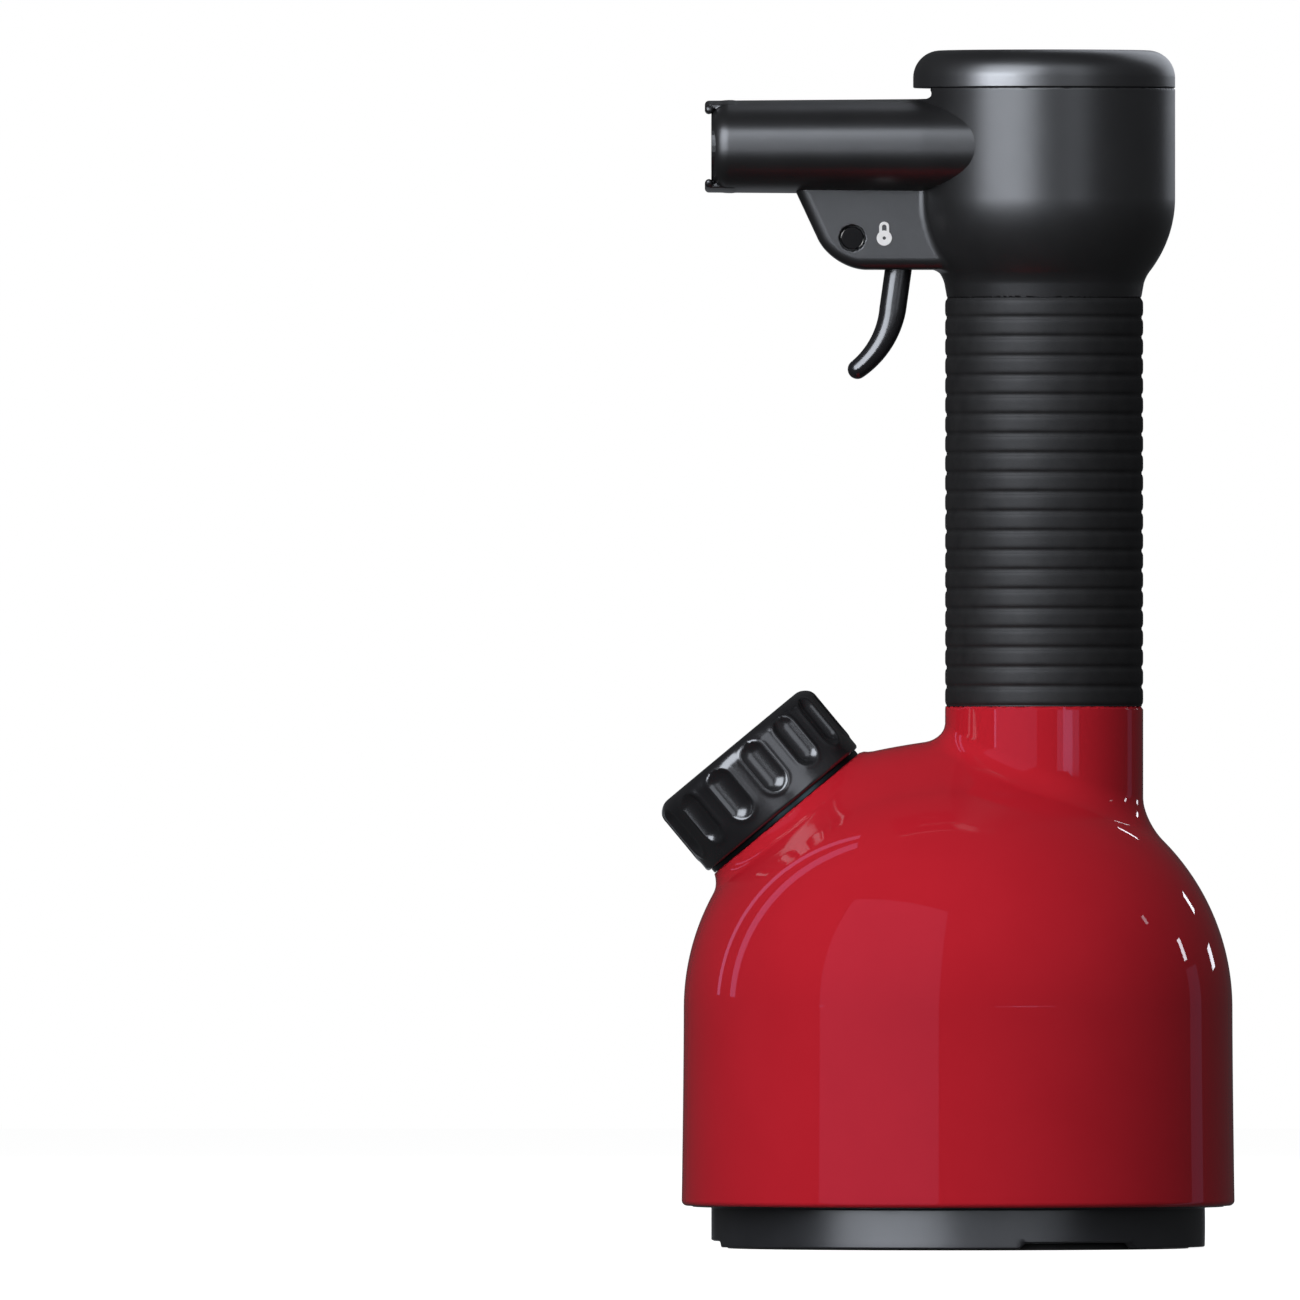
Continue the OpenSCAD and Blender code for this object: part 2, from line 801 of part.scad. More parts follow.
module valve_body() {
    color(brass) difference() {
        union() {
            on_valve_axis() disc(8.5, 2, 38);
            on_handle() disc(6, 262, valve_z);
            translate([outlet_x, 0, 0]) disc(5, valve_z, 287);
        }
        on_valve_axis() rotate_extrude() polygon([[0, 1], [1.9, 1], [1.9, 4], [4, 4], [4, 6.5],
            [4.6, 6.5], [4.6, 14], [3, 14], [3, 16], [5, 16], [5, 39], [0, 39]]);
        on_handle() disc(2, 261, valve_z);
        on_handle() disc(3.05, 261, 267.05);
        translate([outlet_x, 0, 0]) {
            disc(2, valve_z, 288);
            disc(3.05, 284, 288);
        }
    }
}

module valve_plunger() {
    color(steel) on_valve_axis() rotate_extrude()
        polygon([[0, -8.1], [1.3, -8.1], [1.8, -7.6], [1.8, 16.1], [4.3, 16.1], [4.3, 18.6],
                 [1.5, 18.6], [1.5, 23], [0, 23]]);
}

module valve_spring() {
    color(steel) on_valve_axis() coil(3, 0.5, 18.65, 33.9, 7);
}

module valve_plug() {
    color(brass) on_valve_axis() {
        disc(4.98, 34, 38.1);
        hex(7, 38.05, 41);
    }
}

module stem_seal() {
    color(silicone) on_valve_axis() ring(3.98, 1.82, 4.05, 6.3);
}

// ---------- trigger and lock ----------

// Centre line of the finger lever: straight, then curling forwards
function lever_line(n = 12) =
    let (lean = 8, bend = 25, curl = 53, start = [-16, 273], run = 14.5,
         knee = start + run * [-sin(lean), -cos(lean)],
         centre = knee + bend * [-cos(lean), sin(lean)])
    concat([[start, lean]],
           [for (i = [0:n]) let (a = lean + (curl - lean) * i / n)
               [centre + bend * [cos(a), -sin(a)], a]]);

function lever_outline() =
    let (line = lever_line(), last = len(line) - 1, tip = line[last])
    concat(
        [for (i = [0:last]) let (w = 3.7 - i / last) line[i][0] + w * [-cos(line[i][1]), sin(line[i][1])]],
        [for (p = arc(0, 0, 2.7, 180 - tip[1] + 20, 360 - tip[1] - 20, 6)) tip[0] + p],
        [for (i = [last:-1:0]) let (w = 3.7 - i / last) line[i][0] - w * [-cos(line[i][1]), sin(line[i][1])]]);

module slab(width) {
    translate([0, width / 2, 0]) rotate([90, 0, 0]) linear_extrude(width) children();
}

module trigger() {
    color(black) difference() {
        union() {
            slab(lever_w) {
                polygon(lever_outline());
                polygon([[-19.6, 272], [-12.3, 272], [-11.2, 284], [-18.8, 284]]);
            }
            across(pivot_x, pivot_z) disc(4, -8, 8);
            // round nose that presses the valve's plunger
            across(nose_x, valve_z) disc(nose_r, -4, 4);
            slab(8) polygon([[-16, 286], [-12, 286], [-9.5, 280], [nose_x, valve_z - nose_r], [-16, 272]]);
            // horn over the lock button
            slab(4) polygon([[-15, 287], [-25, 285.4], [-27.2, 282.2], [-18, 280.5]]);
        }
        across(pivot_x, pivot_z) disc(pin_r + 0.05, -10, 10);
    }
}

module trigger_pin() {
    color(steel) across(pivot_x, pivot_z) disc(pin_r, -12.3, 12.3);
}

// The waist lets the trigger's horn pass
module lock_button() {
    near = house_w / 2 - 0.1;
    far_end = near + lock_travel;
    color(black) across(lock_x, lock_z) rotate_extrude() polygon([
        [0, -far_end], [lock_r - 0.5, -far_end], [lock_r, -far_end + 0.5],
        [lock_r, -lock_travel - 2.6], [1.3, -lock_travel - 2.6], [1.3, 2.6], [lock_r, 2.6],
        [lock_r, near - 0.5], [lock_r - 0.5, near], [0, near]]);
}

// Plain padlock sign beside the button
module lock_mark() {
    color("white") across(-20.4, lock_z - 0.2) translate([0, 0, house_w / 2]) linear_extrude(0.25)
        difference() {
            union() {
                translate([-2, -2]) square([4, 3.6]);
                translate([0, 1.6]) difference() {
                    union() {
                        circle(r = 1.5);
                        translate([-1.5, -0.5]) square([3, 0.5]);
                    }
                    circle(r = 0.9);
                    translate([-0.9, -0.5]) square([1.8, 0.5]);
                }
            }
            circle(r = 0.55);
        }
}

body_shell();
base_tray();
base_pad();
base_screws();
cord_gland();
power_button();
power_button_spring();
power_switch();
indicator_lens();
control_board();
board_screws();
board_components();
internal_leads();
heat_shield();
boiler_posts();
boiler_lower();
boiler_upper();
boiler_seal();
flange_bolts();
heating_element();
thermostat();
thermal_fuse();
insulation_jacket();
filler_neck();
filler_nut();
filler_ring();
cap_knob();
cap_insert();
cap_seal();
relief_poppet();
relief_spring();
relief_adjuster();
steam_pipe();
pipe_nuts();
handle_core();
handle_nut();
grip_sleeve();
head_left_half();
head_right_half();
head_screws();
head_lid();
nozzle_plate();
nozzle_seal();
steam_manifold();
outlet_pipe();
valve_body();
valve_plunger();
valve_spring();
valve_plug();
stem_seal();
trigger();
trigger_pin();
lock_button();
lock_mark();
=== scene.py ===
"""Looks of a hand-held steamer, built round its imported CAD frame.

Shapes are worked out in millimetres, in the frame's own axes, and turned into metres when a mesh
is made. Blended shells are surfaces of distance functions, and turned parts are lathe profiles.
"""
import json
import math

import bmesh
import bpy
import numpy as np
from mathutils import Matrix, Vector


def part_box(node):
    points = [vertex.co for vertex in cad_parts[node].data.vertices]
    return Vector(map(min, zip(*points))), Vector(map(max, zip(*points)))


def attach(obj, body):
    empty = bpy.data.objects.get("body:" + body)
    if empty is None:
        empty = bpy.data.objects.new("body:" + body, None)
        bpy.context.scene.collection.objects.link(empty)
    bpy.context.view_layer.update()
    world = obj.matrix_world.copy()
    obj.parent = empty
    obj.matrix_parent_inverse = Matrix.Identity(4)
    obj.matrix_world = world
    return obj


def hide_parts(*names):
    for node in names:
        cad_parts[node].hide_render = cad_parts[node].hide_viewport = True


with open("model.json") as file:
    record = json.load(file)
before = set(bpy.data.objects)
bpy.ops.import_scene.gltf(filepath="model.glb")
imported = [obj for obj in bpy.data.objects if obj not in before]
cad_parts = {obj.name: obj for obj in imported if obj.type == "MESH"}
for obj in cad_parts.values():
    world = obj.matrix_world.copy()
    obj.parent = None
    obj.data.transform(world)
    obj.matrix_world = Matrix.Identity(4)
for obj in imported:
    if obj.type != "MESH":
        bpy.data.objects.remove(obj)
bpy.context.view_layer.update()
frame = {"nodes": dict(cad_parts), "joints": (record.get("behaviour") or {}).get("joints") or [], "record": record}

MM = 0.001


# ---------- places and sizes that the frame gives ----------

def span(node):
    """Lowest and highest corner of a CAD node, in millimetres."""
    low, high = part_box(node)
    return np.array(low) / MM, np.array(high) / MM


def middle(node):
    low, high = span(node)
    return (low + high) / 2


def joint(name):
    return next(j for j in frame["joints"] if j["name"] == name)


grip_low, grip_high = span("grip_sleeve")
HANDLE_X = (grip_low[0] + grip_high[0]) / 2
GRIP_R = (grip_high[0] - grip_low[0]) / 2
NECK_TOP = span("body_shell")[1][2]
GRIP_TOP = grip_high[2]
COLLAR_FOOT = GRIP_TOP + 0.05

BODY_R = span("body_shell")[1][0]
BODY_FOOT = span("body_shell")[0][2]
BODY_FLARE = 0.6
SHELL_T = 2.6
SHOULDER_R = 65.3
SHOULDER_Z = 66.2
SHOULDER_X = BODY_R - BODY_FLARE - SHOULDER_R

lid_low, lid_high = span("head_lid")
HEAD_R = (lid_high[0] - lid_low[0]) / 2
TOP = lid_high[2]
LID_Z = TOP - 10
BOWL_Z = LID_Z - 30.7
BOWL_DEPTH = 34.2

MOUTH_X = span("head_left_half")[0][0]
NOZZLE_Z = middle("nozzle_plate")[2]

CAP_AXIS = np.array(joint("cap_turn")["axis"])
CAP_MOUTH = np.array(joint("cap_turn")["pos_m"]) / MM
CAP_SIDE = np.array([0.0, 1.0, 0.0])
CAP_RISE = np.cross(CAP_AXIS, CAP_SIDE)
CAP_R = 26.85
CAP_H = 22.6

PIVOT = np.array(joint("trigger_pull")["pos_m"]) / MM
LOCK = middle("lock_button")
LOCK_PROUD = 2.9
HOUSE_HALF = span("lock_button")[1][1] - LOCK_PROUD
HOUSE_CORNER = 8.6
HOUSE_FOOT = LOCK[2] - HOUSE_CORNER


# ---------- distance functions: negative inside ----------

def join(a, b, radius):
    """Both shapes, with a round fillet of the radius in the corner between them."""
    return np.maximum(radius, np.minimum(a, b)) - np.hypot(
        np.maximum(radius - a, 0), np.maximum(radius - b, 0))


def meet(a, b, radius):
    """What both shapes share, with the edge rounded to the radius."""
    return np.minimum(-radius, np.maximum(a, b)) + np.hypot(
        np.maximum(radius + a, 0), np.maximum(radius + b, 0))


def carve(a, b, radius):
    """The first shape less the second, with the edge rounded to the radius."""
    return meet(a, -b, radius)


def slab(value, low, high):
    """The space where value lies between low and high."""
    return np.maximum(low - value, value - high)


def slope_of(f, p):
    """Gradient of f at the points, by central differences."""
    step = 0.02
    out = np.empty_like(p)
    for axis in range(3):
        shift = np.zeros(3)
        shift[axis] = step
        out[:, axis] = (f(*(p + shift).T) - f(*(p - shift).T)) / (2 * step)
    return out


def settle(f, p, reach):
    """Moves the points onto the surface f = 0, each by less than reach."""
    rounds, least_slope = 5, 0.05
    start = p.copy()
    for _ in range(rounds):
        slope = slope_of(f, p)
        size = np.maximum((slope ** 2).sum(1), least_slope)
        p = p - (f(*p.T) / size)[:, None] * slope
        p = start + np.clip(p - start, -reach, reach)
    return p


def steps(*stops):
    """Grid lines from stops (place, step from there on); the last stop only ends the list."""
    lines = []
    for (low, step), (high, _) in zip(stops, stops[1:]):
        count = max(1, round((high - low) / step))
        lines.extend(np.linspace(low, high, count + 1)[:-1])
    return np.array(lines + [stops[-1][0]])


CORNERS = [(i, j, k) for i in (0, 1) for j in (0, 1) for k in (0, 1)]


def surface(f, xs, ys, zs):
    """Vertices and quads of f = 0 on a grid of unequal steps, by surface nets.

    Each cell that the surface crosses holds one vertex, which stays within `reach` cell widths of
    the mean of the crossings on the cell's edges.
    """
    reach = 0.75
    lines = (xs, ys, zs)
    value = f(*np.meshgrid(xs, ys, zs, indexing="ij"))
    inside = value < 0
    cells = np.array(value.shape) - 1

    def at_corner(grid, corner):
        return grid[tuple(slice(c, c + n) for c, n in zip(corner, cells))]

    count = sum(at_corner(inside, c).astype(int) for c in CORNERS)
    where = np.argwhere((count > 0) & (count < 8))
    number = np.full(cells, -1)
    number[tuple(where.T)] = np.arange(len(where))

    total = np.zeros((len(where), 3))
    hits = np.zeros(len(where))
    for a in CORNERS:
        for b in CORNERS:
            if a < b and sum(abs(i - j) for i, j in zip(a, b)) == 1:
                ends = [where + np.array(c) for c in (a, b)]
                va, vb = (value[tuple(e.T)] for e in ends)
                pa, pb = (np.stack([line[e[:, i]] for i, line in enumerate(lines)], 1)
                          for e in ends)
                crossed = (va < 0) != (vb < 0)
                share = np.where(crossed, va / np.where(crossed, va - vb, 1), 0)[:, None]
                total += np.where(crossed[:, None], pa + share * (pb - pa), 0)
                hits += crossed
    points = total / hits[:, None]
    widest = np.stack([np.diff(line)[where[:, i]] for i, line in enumerate(lines)], 1)
    points = settle(f, points, widest * reach)

    quads = []
    for axis in range(3):
        u, v = (axis + 1) % 3, (axis + 2) % 3
        low = inside.take(range(0, cells[axis]), axis)
        high = inside.take(range(1, cells[axis] + 1), axis)
        at = np.argwhere(low != high)
        keep = (at[:, u] > 0) & (at[:, u] < cells[u]) & (at[:, v] > 0) & (at[:, v] < cells[v])
        at = at[keep]
        ring = []
        for du, dv in ((1, 1), (0, 1), (0, 0), (1, 0)):
            cell = at.copy()
            cell[:, u] -= du
            cell[:, v] -= dv
            ring.append(number[tuple(cell.T)])
        quad = np.stack(ring, 1)
        outward = low[tuple(at.T)]
        quad[~outward] = quad[~outward][:, ::-1]
        quads.append(quad)
    return points, np.concatenate(quads)


# ---------- making pieces ----------

def new_piece(name, points, faces, body, slot, replaces=()):
    """A smooth mesh piece from points in millimetres, riding on a body."""
    mesh = bpy.data.meshes.new(name)
    corners = [tuple(p) for p in np.asarray(points) * MM]
    mesh.from_pydata(corners, [], [tuple(map(int, face)) for face in faces])
    mesh.validate()
    mesh.update()
    piece = bpy.data.objects.new(name, mesh)
    bpy.context.scene.collection.objects.link(piece)
    mesh.polygons.foreach_set("use_smooth", [True] * len(mesh.polygons))
    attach(piece, body)
    if replaces:
        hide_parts(*replaces)
    mesh.materials.append(FINISHES[slot])
    return piece


def shell_piece(name, solids, body, slot, replaces=()):
    """A piece made of the surfaces of distance functions, with the functions' own normals.

    solids lists (function, grid); two solids that run into each other meet in a crisp corner.
    """
    points, quads, slopes = [], [], []
    for f, grid in solids:
        part, faces = surface(f, *grid)
        quads.append(faces + sum(map(len, points)))
        points.append(part)
        slopes.append(slope_of(f, part))
    slopes = np.concatenate(slopes)
    slopes /= np.linalg.norm(slopes, axis=1)[:, None]
    piece = new_piece(name, np.concatenate(points), np.concatenate(quads), body, slot, replaces)
    piece.data.normals_split_custom_set_from_vertices([tuple(n) for n in slopes])
    return piece


def rounded(corners, per_quarter=6):
    """A profile whose corners (r, z, radius) are rounded off with arcs."""
    out = []
    count = len(corners)
    for i, (x, z, radius) in enumerate(corners):
        here = np.array([x, z], float)
        if radius == 0 or i in (0, count - 1):
            out.append(here)
            continue
        back = np.array(corners[i - 1][:2], float) - here
        on = np.array(corners[i + 1][:2], float) - here
        back /= np.linalg.norm(back)
        on /= np.linalg.norm(on)
        half = math.acos(np.clip(back @ on, -1, 1)) / 2
        centre = here + (back + on) / np.linalg.norm(back + on) * radius / math.sin(half)
        first = here + back * radius / math.tan(half) - centre
        last = here + on * radius / math.tan(half) - centre
        turn = math.pi - 2 * half
        parts = max(2, round(per_quarter * turn / (math.pi / 2)))
        for k in range(parts + 1):
            t = k / parts
            v = (math.sin((1 - t) * turn) * first + math.sin(t * turn) * last) / math.sin(turn)
            out.append(centre + v)
    return np.array(out)


def lathe(profile, turns=120, closed=False, shape=None):
    """Points and quads of a profile (r, z) turned round the z axis.

    shape(r, angle, z) may change r and z.
    """
    profile = np.asarray(profile, float)
    angles = np.arange(turns) * 2 * math.pi / turns
    r = np.repeat(profile[:, 0][:, None], turns, 1)
    z = np.repeat(profile[:, 1][:, None], turns, 1)
    angle = np.repeat(angles[None], len(profile), 0)
    if shape:
        r, z = shape(r, angle, z)
    points = np.stack([r * np.cos(angle), r * np.sin(angle), z], -1).reshape(-1, 3)
    rows = len(profile)
    faces = []
    for i in range(rows if closed else rows - 1):
        j = (i + 1) % rows
        for k in range(turns):
            m = (k + 1) % turns
            faces.append((i * turns + k, j * turns + k, j * turns + m, i * turns + m))
    return points, faces


def tidy(piece, sharp_degrees=35):
    """Merges doubled points, faces the surface outwards and marks its sharp edges."""
    bm = bmesh.new()
    bm.from_mesh(piece.data)
    bmesh.ops.remove_doubles(bm, verts=bm.verts, dist=2e-6)
    bmesh.ops.recalc_face_normals(bm, faces=bm.faces)
    bm.to_mesh(piece.data)
    bm.free()
    piece.data.set_sharp_from_angle(angle=math.radians(sharp_degrees))
    weighted = piece.modifiers.new("weighted normals", "WEIGHTED_NORMAL")
    weighted.keep_sharp = True
    return piece


def turned_piece(name, profile, body, slot, replaces=(), place=None, **options):
    """A lathe piece. place turns its points, which are round the z axis, into the frame's."""
    points, faces = lathe(profile, **options)
    if place:
        points = place(points)
    return tidy(new_piece(name, points, faces, body, slot, replaces))


def on_handle(points):
    return points + np.array([HANDLE_X, 0, 0])


def on_cap(points):
    """From the cap's own axes, z out of the mouth and y across, to the frame's."""
    return (CAP_MOUTH - points[:, :1] * CAP_RISE - points[:, 1:2] * CAP_SIDE
            + points[:, 2:] * CAP_AXIS)


# ---------- finishes ----------

def finish(slot, light, dark, roughness, spread, metallic=0.0, coat=0.0, coat_roughness=0.03,
           sheen=0.0, specular=0.5, grain=0.4, relief=0.02, mottle=6.0):
    """A material whose colour drifts between two shades and whose gloss and relief vary.

    The roughness varies by spread to either side. grain is the size of the fine relief, relief its
    height and mottle the size of the colour patches, in millimetres.
    """
    material = bpy.data.materials.new(slot)
    material.use_nodes = True
    nodes, links = material.node_tree.nodes, material.node_tree.links
    shader = nodes["Principled BSDF"]
    shader.inputs["Metallic"].default_value = metallic
    shader.inputs["Coat Weight"].default_value = coat
    shader.inputs["Coat Roughness"].default_value = coat_roughness
    shader.inputs["Sheen Weight"].default_value = sheen
    shader.inputs["Specular IOR Level"].default_value = specular
    shader.inputs["IOR"].default_value = 1.5
    place = nodes.new("ShaderNodeTexCoord")

    def noise(size, detail):
        node = nodes.new("ShaderNodeTexNoise")
        node.inputs["Scale"].default_value = 1 / (size * MM)
        node.inputs["Detail"].default_value = detail
        links.new(place.outputs["Object"], node.inputs["Vector"])
        return node.outputs["Fac"]

    patches = noise(mottle, 4)
    ramp = nodes.new("ShaderNodeValToRGB")
    ramp.color_ramp.elements[0].position = 0.3
    ramp.color_ramp.elements[1].position = 0.7
    ramp.color_ramp.elements[0].color = (*dark, 1)
    ramp.color_ramp.elements[1].color = (*light, 1)
    links.new(patches, ramp.inputs["Fac"])
    links.new(ramp.outputs["Color"], shader.inputs["Base Color"])

    gloss = nodes.new("ShaderNodeMapRange")
    gloss.inputs["To Min"].default_value = roughness - spread
    gloss.inputs["To Max"].default_value = roughness + spread
    links.new(noise(mottle * 0.6, 5), gloss.inputs["Value"])
    links.new(gloss.outputs["Result"], shader.inputs["Roughness"])

    bump = nodes.new("ShaderNodeBump")
    bump.inputs["Strength"].default_value = 1.0
    bump.inputs["Distance"].default_value = relief * MM
    links.new(noise(grain, 3), bump.inputs["Height"])
    links.new(bump.outputs["Normal"], shader.inputs["Normal"])
    return material


def make_finishes():
    """The finish of every slot in the frame's record."""
    metal = dict(metallic=1.0, grain=0.5, relief=0.006, mottle=9)
    moulded = dict(grain=0.35, relief=0.012)
    soft = dict(grain=0.5, relief=0.02)
    looks = {
        "red_shell": dict(
            light=(0.57, 0.017, 0.031), dark=(0.54, 0.015, 0.028), roughness=0.32, spread=0.04,
            specular=0.0, coat=1.0, coat_roughness=0.015, grain=2.2, relief=0.002, mottle=30),
        "black_gloss": dict(
            light=(0.014, 0.014, 0.016), dark=(0.010, 0.010, 0.012), roughness=0.26, spread=0.03,
            specular=1.0, coat=0.5, coat_roughness=0.12, grain=1.2, relief=0.003, mottle=8),
        "black_satin": dict(
            light=(0.014, 0.014, 0.015), dark=(0.010, 0.010, 0.011), roughness=0.36, spread=0.03,
            specular=1.0, mottle=12, **moulded),
        "grip_rubber": dict(
            light=(0.019, 0.019, 0.020), dark=(0.013, 0.013, 0.014), roughness=0.52, spread=0.06,
            specular=0.28, mottle=5, **soft),
        "base_plastic": dict(
            light=(0.022, 0.023, 0.027), dark=(0.017, 0.018, 0.021), roughness=0.32, spread=0.04,
            specular=0.85, mottle=10, **moulded),
        "foot_pad": dict(
            light=(0.022, 0.022, 0.022), dark=(0.014, 0.014, 0.014), roughness=0.75, spread=0.08,
            **soft),
        "steel": dict(
            light=(0.58, 0.58, 0.60), dark=(0.50, 0.50, 0.52), roughness=0.3, spread=0.08, **metal),
        "element_metal": dict(
            light=(0.17, 0.16, 0.15), dark=(0.09, 0.085, 0.08), roughness=0.5, spread=0.1, **metal),
        "boiler_metal": dict(
            light=(0.62, 0.63, 0.65), dark=(0.52, 0.53, 0.55), roughness=0.42, spread=0.08,
            metallic=1.0, grain=0.8, relief=0.03, mottle=12),
        "brass": dict(
            light=(0.72, 0.52, 0.22), dark=(0.60, 0.42, 0.17), roughness=0.28, spread=0.08, **metal),
        "filler_trim": dict(
            light=(0.040, 0.058, 0.063), dark=(0.032, 0.046, 0.050), roughness=0.3, spread=0.05,
            **metal),
        "silicone": dict(
            light=(0.42, 0.05, 0.03), dark=(0.34, 0.04, 0.025), roughness=0.5, spread=0.06, **soft),
        "insulation": dict(
            light=(0.80, 0.76, 0.66), dark=(0.62, 0.58, 0.50), roughness=0.9, spread=0.05,
            sheen=0.4, grain=1.0, relief=0.25, mottle=7),
        "circuit_board": dict(
            light=(0.02, 0.14, 0.06), dark=(0.015, 0.10, 0.045), roughness=0.35, spread=0.06,
            grain=0.8, relief=0.01),
        "board_parts": dict(
            light=(0.03, 0.03, 0.032), dark=(0.02, 0.02, 0.022), roughness=0.5, spread=0.06,
            **moulded),
        "leads": dict(
            light=(0.03, 0.08, 0.34), dark=(0.02, 0.06, 0.28), roughness=0.4, spread=0.05, **soft),
        "white_mark": dict(
            light=(0.95, 0.95, 0.96), dark=(0.90, 0.90, 0.92), roughness=0.5, spread=0.05,
            **moulded),
        "lens": dict(
            light=(0.80, 0.86, 0.92), dark=(0.72, 0.80, 0.88), roughness=0.12, spread=0.03,
            coat=0.5, grain=1.5, relief=0.004),
    }
    return {slot: finish(slot, **look) for slot, look in looks.items()}


FINISHES = make_finishes()


def finish_cad_nodes():
    """Every CAD node gets the finish of its slot."""
    for part in frame["record"]["subparts"]:
        node = frame["nodes"][part["node"]]
        node.data.materials.clear()
        node.data.materials.append(FINISHES[part["material_slot"]])


# ---------- red shell ----------

def cap_frame(x, y, z):
    """Height along the cap's axis from its mouth, and distance from that axis."""
    dx, dz = x - CAP_MOUTH[0], z - CAP_MOUTH[2]
    along = dx * CAP_AXIS[0] + dz * CAP_AXIS[2]
    across = dx * CAP_AXIS[2] - dz * CAP_AXIS[0]
    return along, np.hypot(across, y)


def dome(x, y, z):
    """Body wall, a little wider at its foot, under a round shoulder."""
    r = np.hypot(x, y)
    drop = np.clip((SHOULDER_Z - z) / (SHOULDER_Z - BODY_FOOT), 0, 1.2)
    wall = r - SHOULDER_X - SHOULDER_R - BODY_FLARE * drop ** 1.5
    crown = np.hypot(np.maximum(r - SHOULDER_X, 0), z - SHOULDER_Z) - SHOULDER_R
    return np.where(z > SHOULDER_Z, crown, wall)


def ridge(x, y, z):
    """Round back that carries the shoulder up from the filler to the neck."""
    radius = 22.0
    ends = np.array([[-30.0, 109.6], [3.0, 117.5]])
    run = ends[1] - ends[0]
    t = ((x - ends[0, 0]) * run[0] + (z - ends[0, 1]) * run[1]) / (run @ run)
    t = np.clip(t, 0, 1)
    return np.sqrt((x - ends[0, 0] - t * run[0]) ** 2 + y ** 2
                   + (z - ends[0, 1] - t * run[1]) ** 2) - radius


def red_solid(x, y, z):
    """Outline of the shell: dome and ridge, with the cap's boss and the handle's neck."""
    boss_r, boss_taper, boss_length = CAP_R - 1.1, 0.05, 30
    along, off = cap_frame(x, y, z)
    boss = off - boss_r + boss_taper * np.clip(along, -8, 0)
    boss = np.maximum(boss, -along - boss_length)
    neck = np.hypot(x - HANDLE_X, y) - GRIP_R
    body = join(dome(x, y, z), ridge(x, y, z), 16)
    body = join(body, np.maximum(boss, along - 1), 3.5)
    return join(body, neck + np.maximum(z - NECK_TOP, 0), 5.5)


def red_shell(x, y, z):
    """The hollow shell. Its wall is thicker at the top, and the boss is solid round its axis."""
    thick_from, core_r, core_depth = 95, 17, 10
    along, off = cap_frame(x, y, z)
    solid = red_solid(x, y, z)
    outside = meet(solid, BODY_FOOT - z, 1.5)
    outside = meet(outside, z - NECK_TOP, 0.2)
    outside = meet(outside, along + 1.2, 0.4)
    wall = SHELL_T + np.clip((z - thick_from) / 10, 0, 1)
    hollow = np.maximum(solid + wall, np.minimum(along + core_depth, core_r - off))
    return carve(outside, hollow, 0.5)


def make_red_shell():
    step = 1.3
    across = steps((-80, step), (80, step))
    grid = (across, across,
            steps((BODY_FOOT - 1, 0.35), (BODY_FOOT + 4, 1.5), (SHOULDER_Z, step), (NECK_TOP + 1, 1)))
    return shell_piece("red_body", [(red_shell, grid)], "steamer", "red_shell", ["body_shell"])


# ---------- base ring ----------

def make_base():
    """Ring under the shell with three shallow notches in its foot, and the tray inside it."""
    low, high = span("base_tray")
    foot, ring_top = low[2], BODY_FOOT - 0.3
    ring_r, ring_t = 68.0, 3.2
    tray_r, tray_top, floor_low, floor_high = 65.3, 13.4, 1.85, 4.2
    third, half_notch = 2 * math.pi / 3, math.radians(15)
    notch_in, notch_up = 1.5, 1.7

    def notches(r, angle, z):
        turn = np.mod(angle, third) - third / 2
        edge = np.clip((half_notch - np.abs(turn)) * ring_r / 1.6 + 0.5, 0, 1)
        inwards = np.clip(1 - (z - foot) / 0.9, 0, 1) * (r > ring_r - notch_in)
        upwards = np.clip(1 - (z - foot) / 1.5, 0, 1)
        return r - notch_in * edge * inwards, z + notch_up * edge * upwards

    profile = rounded([
        (0, floor_high, 0), (tray_r, floor_high, 0.6), (tray_r, tray_top, 0.3),
        (high[0], tray_top, 0.3), (high[0], ring_top, 0.3), (ring_r, ring_top, 0.5),
        (ring_r, foot + 3, 0), (ring_r, foot + 2, 0), (ring_r, foot, 0.5),
        (ring_r - ring_t, foot, 0.4), (ring_r - ring_t, floor_low, 0), (0, floor_low, 0)])
    return turned_piece("base_ring", profile, "steamer", "base_plastic", ["base_tray"],
                        turns=360, shape=notches)


# ---------- filler cap ----------

FLUTES = 14
FLUTE_PHASE = math.radians(90 - 7.4)


